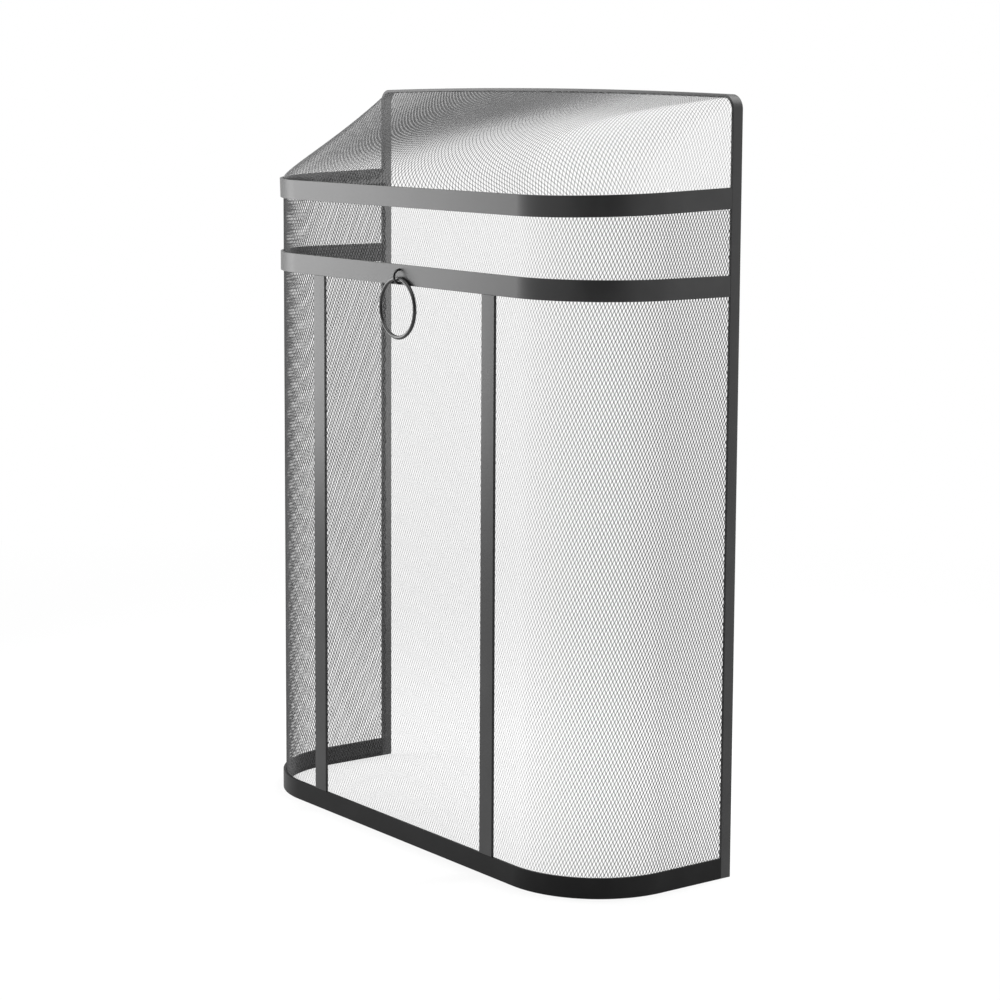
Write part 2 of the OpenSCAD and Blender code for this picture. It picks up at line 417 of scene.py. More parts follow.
@dataclass
class BarFrame:
    """The bands, the front bars and the back arch.

    Attributes:
        edge: Width of the bars' rounded edges.
    """

    sizes: GuardSizes
    edge: float = 0.45 * MM
    bend_steps: int = 32
    arch_steps: int = 16
    crown_steps: int = 24

    def band(self, name: str, low: float, end_y: float) -> bpy.types.Object:
        """Bend one flat band round the three sides of the guard.

        Args:
            name: Name of the piece.
            low: Height of its lower edge.
            end_y: Where its two ends stop.

        Returns:
            The bent band, with sharp edges.
        """
        s = self.sizes
        x, high = s.half_width, low + s.band
        piece = block(name, (-x, s.bend_y, low), (-x + s.bar, end_y, high))
        choose(piece, Kind.FACES, lambda c: c.y < s.bend_y + NEAR)
        self.turn_end((-s.bend_x, s.bend_y, low), (0, 0, 1), self.bend_steps)
        push_out((2 * s.bend_x, 0, 0))
        self.turn_end((s.bend_x, s.bend_y, low), (0, 0, 1), self.bend_steps)
        push_out((0, end_y - s.bend_y, 0))
        leave_edit()
        self.tidy(piece)
        return piece

    @staticmethod
    def turn_end(centre: Place, axis: Place, steps: int) -> None:
        """Spin the selected end a quarter turn about an axis."""
        bpy.ops.mesh.spin(steps=steps, angle=-math.pi / 2, center=centre, axis=axis)

    @staticmethod
    def tidy(piece: bpy.types.Object) -> None:
        """Join doubled points, drop faces left inside and turn the faces outwards."""
        bpy.ops.object.mode_set(mode="EDIT")
        bpy.ops.mesh.select_mode(type="VERT")
        bpy.ops.mesh.select_all(action="SELECT")
        bpy.ops.mesh.remove_doubles(threshold=NEAR)
        bpy.ops.mesh.select_all(action="DESELECT")
        bpy.ops.mesh.select_interior_faces()
        bpy.ops.mesh.delete(type="ONLY_FACE")
        bpy.ops.mesh.select_all(action="SELECT")
        bpy.ops.mesh.normals_make_consistent(inside=False)
        leave_edit()

    def upper_band(self) -> bpy.types.Object:
        """Bend the upper band, tilt it towards the arch and cut its ends plumb.

        Returns:
            The tilted band.
        """
        s = self.sizes
        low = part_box("upper_band")[0].z
        piece = self.band("rim_band", low, s.arch_y + s.band)
        turn = (Matrix.Translation((0, s.front_y, low))
                @ Matrix.Rotation(math.radians(s.rim_tilt), 4, "X")
                @ Matrix.Translation((0, -s.front_y, -low)))
        piece.matrix_world = turn
        settle(piece)
        bpy.ops.object.mode_set(mode="EDIT")
        bpy.ops.mesh.select_all(action="SELECT")
        bpy.ops.mesh.bisect(plane_co=(0, s.arch_y, 0), plane_no=(0, 1, 0), use_fill=True, clear_outer=True)
        leave_edit()
        return piece

    def front_bar(self, name: str, node: str) -> bpy.types.Object:
        """Cut one upright front bar."""
        low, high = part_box(node)
        return block(name, tuple(low), tuple(high))

    def arch(self) -> bpy.types.Object:
        """Bend the back arch from one bar: a leg, a corner, the top, a corner, a leg.

        Returns:
            The arch, its top crowned.
        """
        s = self.sizes
        head_x = s.half_width - s.arch_corner
        head_z = s.crown_z(head_x) - s.arch_corner
        piece = block("arch", (-s.half_width, s.arch_y, 0), (-s.half_width + s.bar, s.back_y, head_z))
        choose(piece, Kind.FACES, lambda c: c.z > head_z - NEAR)
        self.turn_end((-head_x, s.arch_y, head_z), (0, 1, 0), self.arch_steps)
        for _ in range(self.crown_steps):
            push_out((2 * head_x / self.crown_steps, 0, 0))
        self.turn_end((head_x, s.arch_y, head_z), (0, 1, 0), self.arch_steps)
        push_out((0, 0, -head_z))
        leave_edit()
        self.tidy(piece)
        for v in piece.data.vertices:
            if abs(v.co.x) < head_x:
                v.co.z += s.crown_z(v.co.x) - s.crown_z(head_x)
        return piece

    def build(self, shop: Workshop) -> None:
        """Make and paint every bar."""
        s = self.sizes
        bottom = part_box("bottom_band")[0].z
        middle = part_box("middle_band")[0].z
        for piece, node in (
            (self.band("foot_band", bottom, s.arch_y), "bottom_band"),
            (self.band("waist_band", middle, s.arch_y), "middle_band"),
            (self.upper_band(), "upper_band"),
            (self.front_bar("bar_left", "left_front_bar"), "left_front_bar"),
            (self.front_bar("bar_right", "right_front_bar"), "right_front_bar"),
            (self.arch(), "back_arch"),
        ):
            soften(piece, self.edge)
            # The bottom band takes the darker foot paint, which is painted shade; every other bar takes the
            # plain bar paint.
            shop.finish(piece, SHADED_FOOT_PAINT if node == "bottom_band" else BAR_PAINT, "guard", node)


# ---- expanded metal ----


@dataclass(frozen=True)
class Lattice:
    """One flat sheet's diamonds and strands.

    Attributes:
        lean: How far a strand is turned out of the sheet, in radians.
        skew: How far the columns lean, as a share of the height.
        knot: Half the way between two strands' middles where they meet, in widths.
    """

    pitch: float
    rise: float
    strand_w: float = 0.62 * MM
    strand_t: float = 0.18 * MM
    lean: float = math.atan2(0.6, 0.8)
    skew: float = 0.08
    knot: float = 0.3

    def strand(self, name: str, at: float, way: int) -> bpy.types.Object:
        """Shape one full wave of a strand, standing in the XZ plane, open at its ends.

        Args:
            name: Name of the piece.
            at: Middle of the strand along X.
            way: 1 if it sets off towards +X, or -1.

        Returns:
            One wave of the strand, a diamond high.
        """
        swing = way * (self.pitch / 4 - self.strand_w * self.knot)
        half = self.rise / 2
        piece = block(name, (at - swing - self.strand_w / 2, -self.strand_t / 2, 0),
                      (at - swing + self.strand_w / 2, self.strand_t / 2, half))
        middle = at - swing
        cos, sin = math.cos(self.lean), math.sin(self.lean)
        for v in piece.data.vertices:
            x, y = v.co.x - middle, v.co.y
            v.co.x, v.co.y = middle + cos * x + sin * y, -sin * x + cos * y
        choose(piece, Kind.POINTS, lambda c: c.z > half / 2)
        bpy.ops.transform.translate(value=(2 * swing, 0, 0))
        leave_edit()
        choose(piece, Kind.FACES, lambda c: c.z > half - NEAR)
        push_out((-2 * swing, 0, half))
        leave_edit()
        choose(piece, Kind.FACES, lambda c: c.z < NEAR or c.z > self.rise - NEAR)
        bpy.ops.mesh.delete(type="ONLY_FACE")
        leave_edit()
        return piece

    def flat_sheet(self, name: str, start: float, wide: int, high: int) -> bpy.types.Object:
        """Weave a flat sheet out of strands.

        Args:
            name: Name of the piece.
            start: X of the sheet's left edge.
            wide: How many diamonds it is across.
            high: How many diamonds it is up.

        Returns:
            The sheet, upright in the XZ plane, its face towards -Y.
        """
        one = self.strand(name, start + self.pitch / 4, 1)
        other = self.strand("other", start + self.pitch * 3 / 4, -1)
        pick(one, other)
        bpy.ops.object.join()
        repeat(one, high, (0, 0, self.rise), weld=True)
        repeat(one, wide, (self.pitch, 0, 0))
        return one


Forming = Callable[[np.ndarray], tuple[np.ndarray, np.ndarray]]


def whole_rings(flat: np.ndarray, ends: np.ndarray, keep: np.ndarray) -> np.ndarray:
    """Trim strands square, so that each cut end is a ring of four points.

    Args:
        flat: Points of the flat sheet.
        ends: The two points of each edge.
        keep: Which points lie on the trimmed sheet.

    Returns:
        Which points to keep, by whole rings and never a ring alone.
    """
    level = np.abs(flat[ends[:, 0], 2] - flat[ends[:, 1], 2]) < NEAR
    one, other = ends[level].T
    drop = ~keep
    for _ in range(2):  # a ring has four edges, so two rounds reach all its points
        either = drop[one] | drop[other]
        np.logical_or.at(drop, one, either)
        np.logical_or.at(drop, other, either)
    one, other = ends[~level].T
    both = ~drop[one] & ~drop[other]
    joined = np.zeros(len(keep), dtype=bool)
    joined[one[both]] = joined[other[both]] = True
    return joined


def form(piece: bpy.types.Object, forming: Forming) -> None:
    """Bend a flat sheet to its place, trim what lies off it and close its cut ends.

    Args:
        piece: The flat sheet.
        forming: Takes flat points and gives the bent ones and which of them to keep.
    """
    mesh = piece.data
    flat = np.empty(len(mesh.vertices) * 3)
    mesh.vertices.foreach_get("co", flat)
    flat = flat.reshape(-1, 3)
    ends = np.empty(len(mesh.edges) * 2, dtype=int)
    mesh.edges.foreach_get("vertices", ends)
    ends = ends.reshape(-1, 2)
    bent, keep = forming(flat)
    keep = whole_rings(flat, ends, keep)
    mesh.vertices.foreach_set("co", bent.ravel())
    pick(piece)
    bpy.ops.object.mode_set(mode="EDIT")
    bpy.ops.mesh.select_mode(type="VERT")
    bpy.ops.mesh.select_all(action="DESELECT")
    leave_edit()
    mesh.vertices.foreach_set("select", ~keep)
    bpy.ops.object.mode_set(mode="EDIT")
    bpy.ops.mesh.delete(type="VERT")
    bpy.ops.mesh.select_all(action="SELECT")
    bpy.ops.mesh.fill_holes(sides=4)
    leave_edit()
    mesh.update()


@dataclass
class WrapScreen:
    """The upright screen, bent round the three sides inside the bars.

    Attributes:
        behind: From the bars' inner face to the middle of the sheet.
    """

    sizes: GuardSizes
    across: int = 240
    up: int = 92
    parts: int = 6
    behind: float = 0.45 * MM

    @property
    def radius(self) -> float:
        """Bend radius of the middle of the sheet."""
        return self.sizes.corner - self.sizes.bar - self.behind

    @property
    def bend_run(self) -> float:
        """Length of the sheet round one corner."""
        return self.radius * math.pi / 2

    @property
    def half_run(self) -> float:
        """Length of the sheet from mid-width to a back edge."""
        return self.sizes.bend_x + self.bend_run + self.sizes.lap_y - self.sizes.bend_y

    def plan(self, u: np.ndarray) -> tuple[np.ndarray, np.ndarray, np.ndarray, np.ndarray]:
        """Place on the bent sheet at a run u from mid-width.

        Args:
            u: Runs along the sheet in metres, left negative.

        Returns:
            X and Y of each point, and X and Y of the outward direction there.
        """
        s = self.sizes
        run, hand = np.abs(u), np.where(u < 0, -1.0, 1.0)
        turn = np.clip((run - s.bend_x) / self.radius, 0, math.pi / 2)
        ahead = np.clip(run - s.bend_x - self.bend_run, 0, None)
        x = np.minimum(run, s.bend_x) + self.radius * np.sin(turn)
        y = s.bend_y - self.radius * np.cos(turn) + ahead
        return hand * x, y, hand * np.sin(turn), -np.cos(turn)

    @property
    def lattice(self) -> Lattice:
        """The sheet's diamonds and strands."""
        return Lattice(2 * self.half_run / self.across,
                       (self.sizes.hood_z - self.sizes.mesh_low) / self.up)

    def bend(self, flat: np.ndarray) -> tuple[np.ndarray, np.ndarray]:
        """Skew flat points, bend them round the guard and trim them at the back edges."""
        run = flat[:, 0] + self.lattice.skew * flat[:, 2]
        x, y, nx, ny = self.plan(run)
        out = -flat[:, 1]
        bent = np.column_stack([x + out * nx, y + out * ny, flat[:, 2] + self.sizes.mesh_low])
        return bent, np.abs(run) <= self.half_run

    def build(self, shop: Workshop) -> None:
        """Make and paint the screen, in parts from left to right."""
        lattice = self.lattice
        spare = math.ceil(lattice.skew * lattice.rise * self.up / lattice.pitch)
        edges = np.linspace(-spare, self.across, self.parts + 1).astype(int)
        for k, (first, last) in enumerate(zip(edges, edges[1:])):
            start = first * lattice.pitch - self.half_run
            piece = lattice.flat_sheet(f"screen_{k + 1}", start, last - first, self.up)
            form(piece, self.bend)
            shop.finish(piece, MESH_PAINT, "guard", "wrap_mesh")


def cross(q: np.ndarray, r: np.ndarray) -> np.ndarray:
    """Cross products of two rows of flat vectors."""
    return q[:, 0] * r[:, 1] - q[:, 1] * r[:, 0]


def triangles(columns: int, points: int) -> np.ndarray:
    """Triangles of a grid that is counted column by column."""
    first = (np.arange(columns - 1)[:, None] * points + np.arange(points - 1)).ravel()
    return np.vstack([np.column_stack([first, first + points, first + 1]),
                      np.column_stack([first + 1, first + points, first + points + 1])])


def unroll(points: np.ndarray, faces: np.ndarray, start: np.ndarray, pin: int, twist: np.ndarray,
           rounds: int = 25) -> np.ndarray:
    """Lay a bent sheet out flat, each triangle as near its true shape as the others let it be.

    Args:
        points: Points of the bent sheet.
        faces: Its triangles.
        start: A first guess of the flat points.
        pin: The point that stays where the guess puts it.
        twist: How far each triangle is turned, in radians, once the sheet is flat.
        rounds: How often the triangles are turned and joined again.

    Returns:
        The flat points.
    """
    a, b, c = (points[faces[:, k]] for k in range(3))
    along = (b - a) / np.linalg.norm(b - a, axis=1)[:, None]
    normal = np.cross(b - a, c - a)
    across = np.cross(normal / np.linalg.norm(normal, axis=1)[:, None], along)
    true = np.zeros((len(faces), 3, 2))
    true[:, 1, 0] = np.linalg.norm(b - a, axis=1)
    true[:, 2] = np.column_stack([((c - a) * along).sum(1), ((c - a) * across).sum(1)])
    sides, pull = [], np.zeros((len(points), len(points)))
    for k in range(3):
        i, j = (k + 1) % 3, (k + 2) % 3
        q, r = true[:, i] - true[:, k], true[:, j] - true[:, k]
        weight = np.clip((q * r).sum(1) / np.abs(cross(q, r)), *COTANGENTS) / 2
        p, o = faces[:, i], faces[:, j]
        sides.append((p, o, true[:, i] - true[:, j], weight))
        for at, value in (((p, o), -weight), ((o, p), -weight), ((p, p), weight), ((o, o), weight)):
            np.add.at(pull, at, value)
    fixed = np.setdiff1d(np.arange(len(points)), faces)
    fixed = np.append(fixed, pin)
    pull[fixed] = 0
    pull[fixed, fixed] = 1
    solve = np.linalg.inv(pull)
    flat = start.copy()
    for n in range(rounds + 1):
        turn = sum(weight[:, None, None] * (flat[p] - flat[o])[:, :, None] * side[:, None, :]
                   for p, o, side, weight in sides)
        angle = np.arctan2(turn[:, 1, 0] - turn[:, 0, 1], turn[:, 0, 0] + turn[:, 1, 1])
        if n == rounds:
            angle -= twist
        cos, sin = np.cos(angle), np.sin(angle)
        aim = np.zeros_like(flat)
        for p, o, side, weight in sides:
            step = np.column_stack([cos * side[:, 0] - sin * side[:, 1],
                                    sin * side[:, 0] + cos * side[:, 1]])
            np.add.at(aim, p, step * weight[:, None])
            np.add.at(aim, o, -step * weight[:, None])
        aim[fixed] = start[fixed]
        flat = solve @ aim
    return flat


@dataclass
class Hood:
    """The mesh hood: one sheet from the upper band up to the arch, folded over both corners.

    A fold line climbs from the band, stands up to its fold, turns at a knee and ends on the arch.

    Attributes:
        left_fold: How high the sheet stands on the band at the left before it folds back.
        right_fold: The same at the right.
        corner_fold: Share of the right fold that is left at the far end of the corner.
        spread: How fast the fold fades from right to left.
        head_room: Highest fold, as a share of the rise to the arch.
        knee_share: Where the knee lies, from the fold to the arch.
        sag: How far the slope sags at the left.
        sag_in: Share of the sag that goes towards the middle.
        sag_down: Share of the sag that goes down.
        full_sag: Length of slope from which it sags fully.
        deep: How far the strands lie behind the surface.
        strand_w: Width of its strands, narrower than the screen's so that the slope stays pale.
        lean: How far they are turned out of the sheet, in degrees.
        sheet_turn: Turn of the whole flat sheet in degrees.
        corner_turn: Turn of its diamonds at the flanks in degrees.
        full_turn: Share of the half width at which they are turned fully.
        sliver: Twice the area of the smallest triangle that is unrolled, in square metres.
        level_columns: Lines on each side of the middle that show which way is level.
    """

    sizes: GuardSizes
    screen: WrapScreen
    left_fold: float = 8 * MM
    right_fold: float = 62 * MM
    corner_fold: float = 0.45
    spread: float = 1.5
    head_room: float = 0.93
    knee_share: float = 0.5
    sag: float = 3 * MM
    sag_in: float = 0.6
    sag_down: float = 0.8
    full_sag: float = 150 * MM
    deep: float = 0.25 * MM
    strand_w: float = 0.40 * MM
    lean: float = -38.0
    sheet_turn: float = 8.0
    corner_turn: float = 48.0
    full_turn: float = 0.9
    sliver: float = 2e-8
    columns: int = 85
    points: int = 24
    flank_columns: int = 7
    level_columns: int = 3
    parts: int = 4

    def foot_and_head(self, run: float) -> tuple[np.ndarray, np.ndarray]:
        """Ends of the fold line at a run from mid-width.

        Args:
            run: Run along the upper band in metres, left negative.

        Returns:
            Its foot on the band's upper edge and its head under the arch.
        """
        s = self.sizes
        hand = math.copysign(1, run)
        turn = min(max(abs(run) - s.bend_x, 0) / self.screen.radius, math.pi / 2)
        radius, inner = s.corner - s.bar, s.arch_corner - s.bar
        foot_x = min(abs(run), s.bend_x) + radius * math.sin(turn)
        foot_y = s.bend_y - radius * math.cos(turn)
        corner_x = s.half_width - s.arch_corner
        head_x = corner_x * min(abs(run) / s.bend_x, 1)
        head_z = s.crown_z(head_x, s.bar)
        if turn > 0:
            head_x = corner_x + inner * math.sin(turn)
            head_z = s.crown_z(corner_x) - s.arch_corner + inner * math.cos(turn)
        foot = np.array([hand * foot_x, foot_y, s.rim_z(foot_y)])
        return foot, np.array([hand * head_x, s.arch_y, head_z])

    def column(self, run: float) -> np.ndarray:
        """Points up one fold line, from inside the band to the end of its lap on the arch.

        Args:
            run: Run along the upper band in metres.

        Returns:
            The points.
        """
        s = self.sizes
        foot, head = self.foot_and_head(run)
        share = 1 - min(max((s.bend_x - foot[0]) / (2 * s.bend_x), 0), 1) ** self.spread
        stand = self.left_fold + (self.right_fold - self.left_fold) * share
        if run > s.bend_x:
            stand *= 1 - (1 - self.corner_fold) * (run - s.bend_x) / self.screen.bend_run
        fold = foot + np.array([0, 0, min(stand, (head[2] - foot[2]) * self.head_room)])
        mid_curve = 3 / 8  # share of its third point in the middle of a cubic curve
        pull = self.sag / mid_curve * min(np.linalg.norm(head - fold) / self.full_sag, 1) * (1 - share)
        inward = np.array([-math.copysign(max(abs(foot[0]) - s.bend_x, 0), foot[0]),
                           max(s.bend_y - foot[1], 0), 0])
        inward /= max(np.linalg.norm(inward), TINY)
        sagging = pull * (self.sag_in * inward - np.array([0, 0, self.sag_down]))
        knee = fold + (head - fold) * self.knee_share + sagging
        f = np.linspace(0, 1, self.points - 2)[:, None]
        slope = ((1 - f) ** 3 * foot + 3 * (1 - f) ** 2 * f * fold
                 + 3 * (1 - f) * f ** 2 * knee + f ** 3 * head)
        under = np.array([foot[0], foot[1], s.hood_z])
        return np.vstack([under, slope, head + np.array([0, s.lap_y - s.arch_y, 0])])

    def flank(self, edge: np.ndarray) -> list[np.ndarray]:
        """Fold lines over the flat triangle between a corner, the band and the arch's leg.

        Args:
            edge: The last fold line round the corner.

        Returns:
            Lines of points, from the corner to the band and the leg, and past them.
        """
        s = self.sizes
        foot, head = edge[1], edge[-2]
        base = s.arch_y - foot[1]
        rise = head[2] - s.rim_z(s.arch_y)
        run = np.linspace(0, base + rise, self.points - 2)
        depth = foot[1] + np.minimum(run, base)
        height = np.array([s.rim_z(y) for y in depth]) + np.maximum(run - base, 0)
        path = edge.copy()
        path[1:-1] = np.column_stack([np.linspace(foot[0], head[0], len(run)), depth, height])
        lap = np.zeros_like(path)
        lap[1:-1, 1] = np.where(run > base, s.lap_y - s.arch_y, 0)
        lap[1:-1, 2] = np.where(run > base, 0, s.hood_z - foot[2])
        lines = [edge + (path - edge) * k / self.flank_columns for k in range(1, self.flank_columns + 1)]
        return lines + [path + lap]

    def skin(self) -> np.ndarray:
        """Fold lines over the whole hood, from the left leg round to the right one."""
        reach = self.sizes.bend_x + self.screen.bend_run
        slope = [self.column(run) for run in np.linspace(-reach, reach, self.columns)]
        return np.array(self.flank(slope[0])[::-1] + slope + self.flank(slope[-1]))

    def unrolled(self, skin: np.ndarray, faces: np.ndarray) -> np.ndarray:
        """Lay the hood's points out flat, with the sheet level at mid-width but for its turn.

        Args:
            skin: The fold lines.
            faces: Triangles between them.

        Returns:
            Two coordinates for each point.
        """
        count, middle = len(skin), len(skin) // 2
        halfway = skin[:, self.points // 2]
        run = np.concatenate([[0], np.cumsum(np.linalg.norm(np.diff(halfway, axis=0), axis=1))])
        up = np.cumsum(np.linalg.norm(np.diff(skin, axis=1), axis=2), axis=1)
        guess = np.column_stack([np.repeat(run, self.points), np.hstack([np.zeros((count, 1)), up]).ravel()])
        points = skin.reshape(-1, 3)
        aside = np.clip(points[faces, 0].mean(axis=1) / (self.sizes.half_width * self.full_turn), -1, 1)
        twist = math.radians(self.corner_turn) * np.sin(aside * math.pi / 2)
        flat = unroll(points, faces, guess, middle * self.points + self.points // 3, twist)
        near = self.level_columns
        along = flat[(middle + near) * self.points + 1] - flat[(middle - near) * self.points + 1]
        turn = math.atan2(along[1], along[0]) + math.radians(self.sheet_turn)
        cos, sin = math.cos(turn), math.sin(turn)
        return flat @ np.array([[cos, -sin], [sin, cos]])

    def build(self, shop: Workshop) -> None:
        """Unroll the hood's shape, weave the flat sheet and bend it back on to the shape."""
        skin = self.skin()
        faces = triangles(len(skin), self.points)
        points = skin.reshape(-1, 3)
        a, b, c = (points[faces[:, k]] for k in range(3))
        normal = np.cross(b - a, c - a)
        sound = np.linalg.norm(normal, axis=1) > self.sliver
        faces, normal = faces[sound], normal[sound]
        flat = self.unrolled(skin, faces)
        out = np.zeros_like(points)
        for k in range(3):
            np.add.at(out, faces[:, k], normal)
        out /= np.maximum(np.linalg.norm(out, axis=1), TINY)[:, None]
        tree = BVHTree.FromPolygons([(u, v, 0.0) for u, v in flat.tolist()], faces.tolist())
        lattice = Lattice(self.screen.lattice.pitch, self.screen.lattice.rise,
                          strand_w=self.strand_w, lean=math.radians(self.lean))
        low, high = flat.min(axis=0), flat.max(axis=0)
        spare = lattice.skew * (high[1] - low[1])
        edges = np.linspace(low[0] - spare, high[0], self.parts + 1)

        def lay(sheet: np.ndarray) -> tuple[np.ndarray, np.ndarray]:
            """Bend flat lattice points on to the hood and say which lie on it."""
            place = np.column_stack([sheet[:, 0] + lattice.skew * sheet[:, 2], sheet[:, 2] + low[1]])
            hits = [tree.find_nearest((u, v, 0.0)) for u, v in place.tolist()]
            face = faces[[hit[2] for hit in hits]]
            a, b, c = (flat[face[:, k]] for k in range(3))
            w, q, r = place - a, b - a, c - a
            area = cross(q, r)
            fb, fc = cross(w, r) / area, cross(q, w) / area
            share = np.column_stack([1 - fb - fc, fb, fc])[:, :, None]
            height = (-sheet[:, 1] - self.deep)[:, None]
            bent = (points[face] * share).sum(1) + (out[face] * share).sum(1) * height
            return bent, np.array([hit[3] for hit in hits]) < NEAR

        for k, (first, last) in enumerate(zip(edges, edges[1:])):
            wide = round((last - first) / lattice.pitch)
            rows = math.ceil((high[1] - low[1]) / lattice.rise)
            piece = lattice.flat_sheet(f"hood_{k + 1}", edges[0] + k * wide * lattice.pitch, wide, rows)
            form(piece, lay)
            shop.finish(piece, MESH_PAINT, "guard", "hood_mesh")


# ---- pull ring ----


@dataclass
class PullRing:
    """The ring on the front of the guard, and the staple that it hangs from."""

    wire_sides: int = 16
    ring_steps: int = 96
    staple_steps: int = 24

    def bent_wire(self, name: str, centre: Vector, axis: Place, start: Vector, wire: float,
                  angle: float, steps: int) -> bpy.types.Object:
        """Spin a round wire's end about an axis.

        Args:
            name: Name of the piece.
            centre: Middle of the bend.
            axis: Axis of the bend.
            start: Middle of the wire's first end.
            wire: Diameter of the wire.
            angle: How far it is bent, in radians.
            steps: How many steps the bend has.

        Returns:
            The bent wire.
        """
        clear_selection()
        arm = (start - centre).normalized()
        along = Vector(axis).cross(arm)
        bpy.ops.mesh.primitive_circle_add(vertices=self.wire_sides, radius=wire / 2, location=start,
                                          rotation=along.to_track_quat("Z", "Y").to_euler())
        piece = bpy.context.object
        piece.name = piece.data.name = name
        settle(piece)
        bpy.ops.object.mode_set(mode="EDIT")
        bpy.ops.mesh.select_all(action="SELECT")
        bpy.ops.mesh.spin(steps=steps, angle=angle, center=centre, axis=axis)
        bpy.ops.mesh.select_all(action="SELECT")
        bpy.ops.mesh.remove_doubles(threshold=NEAR)
        bpy.ops.mesh.fill_holes(sides=self.wire_sides)
        bpy.ops.mesh.select_all(action="SELECT")
        bpy.ops.mesh.normals_make_consistent(inside=False)
        leave_edit()
        bpy.ops.object.shade_smooth_by_angle(angle=WIRE_SMOOTH)
        return piece

    def build(self, shop: Workshop) -> None:
        """Make and paint the ring and its staple."""
        low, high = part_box("pull_ring")
        centre = (low + high) / 2
        wire = high.y - low.y
        ring = self.bent_wire("ring", centre, (0, 1, 0), Vector((0, centre.y, high.z - wire / 2)),
                              wire, 2 * math.pi, self.ring_steps)
        shop.finish(ring, RING_PAINT, "ring", "pull_ring")
        low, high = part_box("pull_staple")
        wire = high.x - low.x
        root = Vector((0, high.y, (low.z + high.z) / 2))
        staple = self.bent_wire("staple", root, (1, 0, 0), root + Vector((0, 0, (high.z - low.z - wire) / 2)),
                                wire, -math.pi, self.staple_steps)
        shop.finish(staple, RING_PAINT, "guard", "pull_staple")


# ---- studio ----


@dataclass(frozen=True)
class Lamp:
    """A soft rectangular lamp: where it hangs, what it points at, its size and its power in watts."""

    name: str
    place: Place
    aim: Place
    size: tuple[float, float]
    power: float

    def hang(self) -> None:
        """Hang the lamp out of the camera's sight."""
        data = bpy.data.lights.new(self.name, "AREA")
        data.shape = "RECTANGLE"
        data.size, data.size_y = self.size
        data.energy = self.power
        lamp = bpy.data.objects.new(self.name, data)
        lamp.visible_camera = False
        bpy.context.scene.collection.objects.link(lamp)
        facing = (Vector(self.aim) - Vector(self.place)).to_track_quat("-Z", "Y")
        lamp.matrix_world = Matrix.Translation(self.place) @ facing.to_matrix().to_4x4()


LAMPS = (
    Lamp("side_softbox", (-0.78, -0.47, 0.76), (-0.25, -0.098, 0.76), (0.5, 1.0), 8.5),
    Lamp("back_strip", (0.27, 0.51, 0.52), (-0.286, 0.092, 0.52), (0.25, 0.8), 4.5),
    Lamp("overhead", (0.3, -0.5, 2.6), (0, 0, 0.3), (2.0, 2.0), 30),
    Lamp("back_overhead", (0.45, 1.2, 2.4), (0, 0, 0.6), (2.0, 1.6), 30),
)


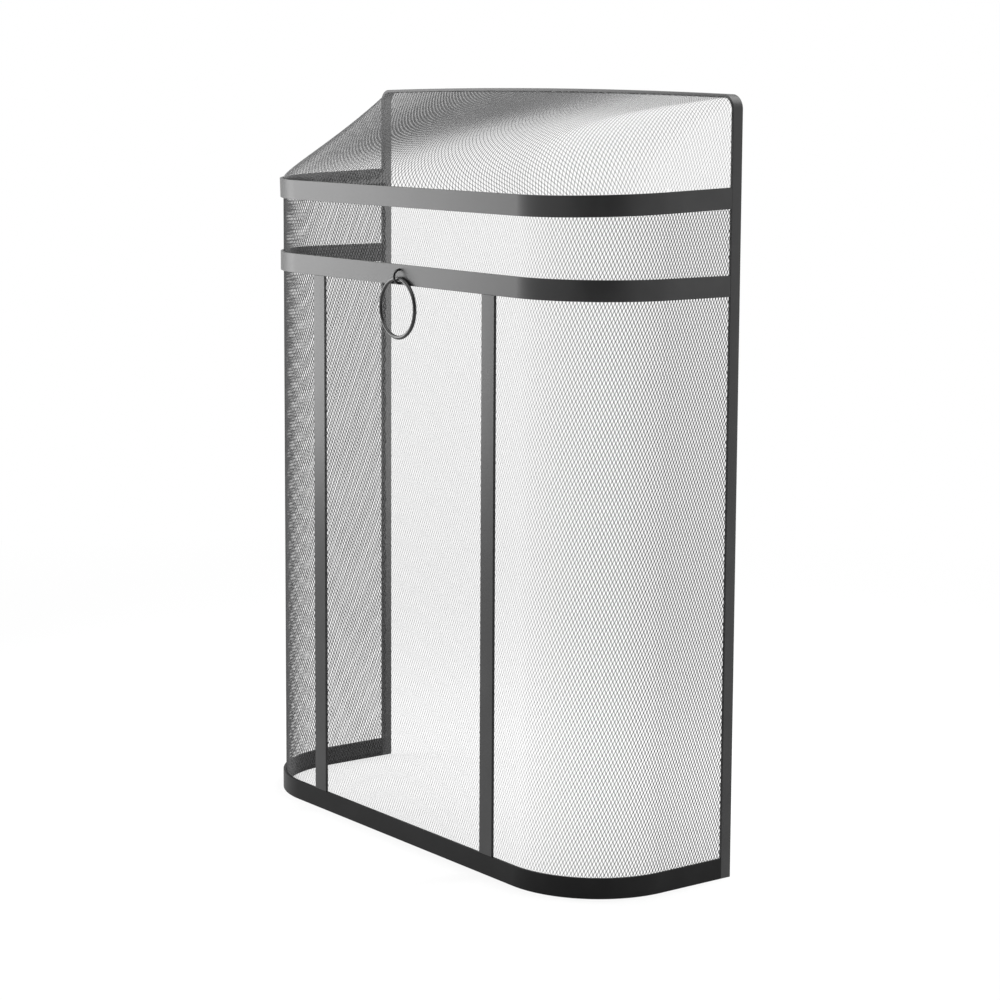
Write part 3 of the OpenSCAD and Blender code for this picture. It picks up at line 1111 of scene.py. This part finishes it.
@dataclass
class Studio:
    """Pale floor, soft lamps and the camera, in metres and degrees.

    Attributes:
        yaw: Turn of the camera from straight ahead, to the left.
        drop: Upright shift of the picture.
        card_way: From the origin to the black card.
        pool: Radii between which the floor turns white.
        pool_white: How white it looks inside and outside them.
        sky_light: Strength of the world's light.
    """

    eye: Place = (2.12237, -1.56626, 0.76496)
    yaw: float = 52.974
    pitch: float = 7.42
    roll: float = 0.3075
    lens: float = 94.783
    sensor: float = 36
    drop: float = -0.08
    far: float = 60
    card_way: float = 3.2
    card_z: float = 1.6
    card_size: tuple[float, float] = (3.2, 5.2)
    floor_size: float = 40
    floor_grey: float = 0.9
    pool: tuple[float, float] = (0.4, 1.8)
    pool_white: tuple[float, float] = (0.78, 1.0)
    sky_light: float = 0.55

    def camera(self) -> None:
        """Set up the camera."""
        data = bpy.data.cameras.new("camera")
        data.lens = self.lens
        data.sensor_width = self.sensor
        data.shift_y = self.drop
        data.clip_end = self.far
        camera = bpy.data.objects.new("camera", data)
        bpy.context.scene.collection.objects.link(camera)
        yaw, pitch, roll = (math.radians(a) for a in (self.yaw, self.pitch, self.roll))
        ahead = Vector((-math.sin(yaw) * math.cos(pitch), math.cos(yaw) * math.cos(pitch), -math.sin(pitch)))
        right = ahead.cross(Vector((0, 0, 1))).normalized()
        up = right.cross(ahead)
        across = right * math.cos(roll) + up * math.sin(roll)
        upward = up * math.cos(roll) - right * math.sin(roll)
        turn = Matrix((across, upward, -ahead)).transposed().to_4x4()
        camera.matrix_world = Matrix.Translation(self.eye) @ turn
        bpy.context.scene.camera = camera

    @staticmethod
    def seen(nodes: bpy.types.Nodes, links: bpy.types.NodeLinks) -> bpy.types.NodeSocket:
        """Mark the rays that show a background: straight, mirrored or through glass.

        Args:
            nodes: Nodes of the material or world.
            links: Its links.

        Returns:
            A socket that is 1 on such a ray.
        """
        path = nodes.new("ShaderNodeLightPath")
        both = nodes.new("ShaderNodeMath")
        both.operation = "MAXIMUM"
        every = nodes.new("ShaderNodeMath")
        every.operation = "MAXIMUM"
        links.new(path.outputs["Is Camera Ray"], both.inputs[0])
        links.new(path.outputs["Is Glossy Ray"], both.inputs[1])
        links.new(both.outputs["Value"], every.inputs[0])
        links.new(path.outputs["Is Transmission Ray"], every.inputs[1])
        return every.outputs["Value"]

    def dark_card(self) -> None:
        """Stand a black card behind the camera, so that the front corner keeps a dark core."""
        clear_selection()
        yaw = math.radians(self.yaw)
        away = Vector((math.sin(yaw), -math.cos(yaw), 0))
        middle = away * self.card_way + Vector((0, 0, self.card_z))
        bpy.ops.mesh.primitive_plane_add(size=1, location=middle,
                                         rotation=away.to_track_quat("Z", "Y").to_euler())
        card = bpy.context.object
        card.name = "dark_card"
        card.scale = (*self.card_size, 1)
        settle(card)
        card.visible_camera = False
        material = bpy.data.materials.new("black_felt")
        material.use_nodes = True
        felt = material.node_tree.nodes["Principled BSDF"]
        dial(felt, {"Base Color": (0.01, 0.01, 0.01, 1), "Roughness": 1.0})
        card.data.materials.append(material)

    def floor(self) -> None:
        """Lay the pale floor, which keeps the guard's shadow."""
        clear_selection()
        bpy.ops.mesh.primitive_plane_add(size=self.floor_size, location=(0, 0, 0))
        floor = bpy.context.object
        floor.name = "floor"
        settle(floor)
        material = bpy.data.materials.new("pale_floor")
        material.use_nodes = True
        nodes, links = material.node_tree.nodes, material.node_tree.links
        matt = nodes["Principled BSDF"]
        grey = self.floor_grey
        dial(matt, {"Base Color": (grey, grey, grey, 1), "Roughness": 0.9, "Specular IOR Level": 0.0})
        glow = nodes.new("ShaderNodeEmission")
        dial(glow, {"Strength": 1.0})
        blend = nodes.new("ShaderNodeMixShader")
        place = nodes.new("ShaderNodeTexCoord")
        away = nodes.new("ShaderNodeVectorMath")
        away.operation = "LENGTH"
        far = nodes.new("ShaderNodeMapRange")
        dial(far, {"From Min": self.pool[0], "From Max": self.pool[1],
                   "To Min": self.pool_white[0], "To Max": self.pool_white[1]})
        share = nodes.new("ShaderNodeMath")
        share.operation = "MULTIPLY"
        links.new(place.outputs["Object"], away.inputs[0])
        links.new(away.outputs["Value"], far.inputs["Value"])
        links.new(far.outputs["Result"], share.inputs[1])
        links.new(self.seen(nodes, links), share.inputs[0])
        links.new(share.outputs["Value"], blend.inputs["Fac"])
        links.new(matt.outputs["BSDF"], blend.inputs[1])
        links.new(glow.outputs["Emission"], blend.inputs[2])
        links.new(blend.outputs["Shader"], nodes["Material Output"].inputs["Surface"])
        floor.data.materials.append(material)

    def sky(self) -> None:
        """Give the world a plain grey that the camera sees as white."""
        world = bpy.data.worlds.new("studio")
        bpy.context.scene.world = world
        world.use_nodes = True
        nodes, links = world.node_tree.nodes, world.node_tree.links
        dial(nodes["Background"], {"Color": (1, 1, 1, 1), "Strength": self.sky_light})
        white = nodes.new("ShaderNodeBackground")
        dial(white, {"Color": (1, 1, 1, 1), "Strength": 1.0})
        blend = nodes.new("ShaderNodeMixShader")
        links.new(self.seen(nodes, links), blend.inputs["Fac"])
        links.new(nodes["Background"].outputs["Background"], blend.inputs[1])
        links.new(white.outputs["Background"], blend.inputs[2])
        links.new(blend.outputs["Shader"], nodes["World Output"].inputs["Surface"])

    def build(self) -> None:
        """Set up everything that is not the guard."""
        self.camera()
        self.floor()
        self.sky()
        self.dark_card()
        for lamp in LAMPS:
            lamp.hang()
        bpy.context.scene.view_settings.view_transform = "Standard"


def main() -> None:
    """Build the guard, dress it and set the studio up round it."""
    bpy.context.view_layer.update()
    sizes = GuardSizes.from_frame()
    shop = Workshop()
    BarFrame(sizes).build(shop)
    screen = WrapScreen(sizes)
    screen.build(shop)
    Hood(sizes, screen).build(shop)
    PullRing().build(shop)
    Studio().build()


if __name__ == "__main__":
    main()
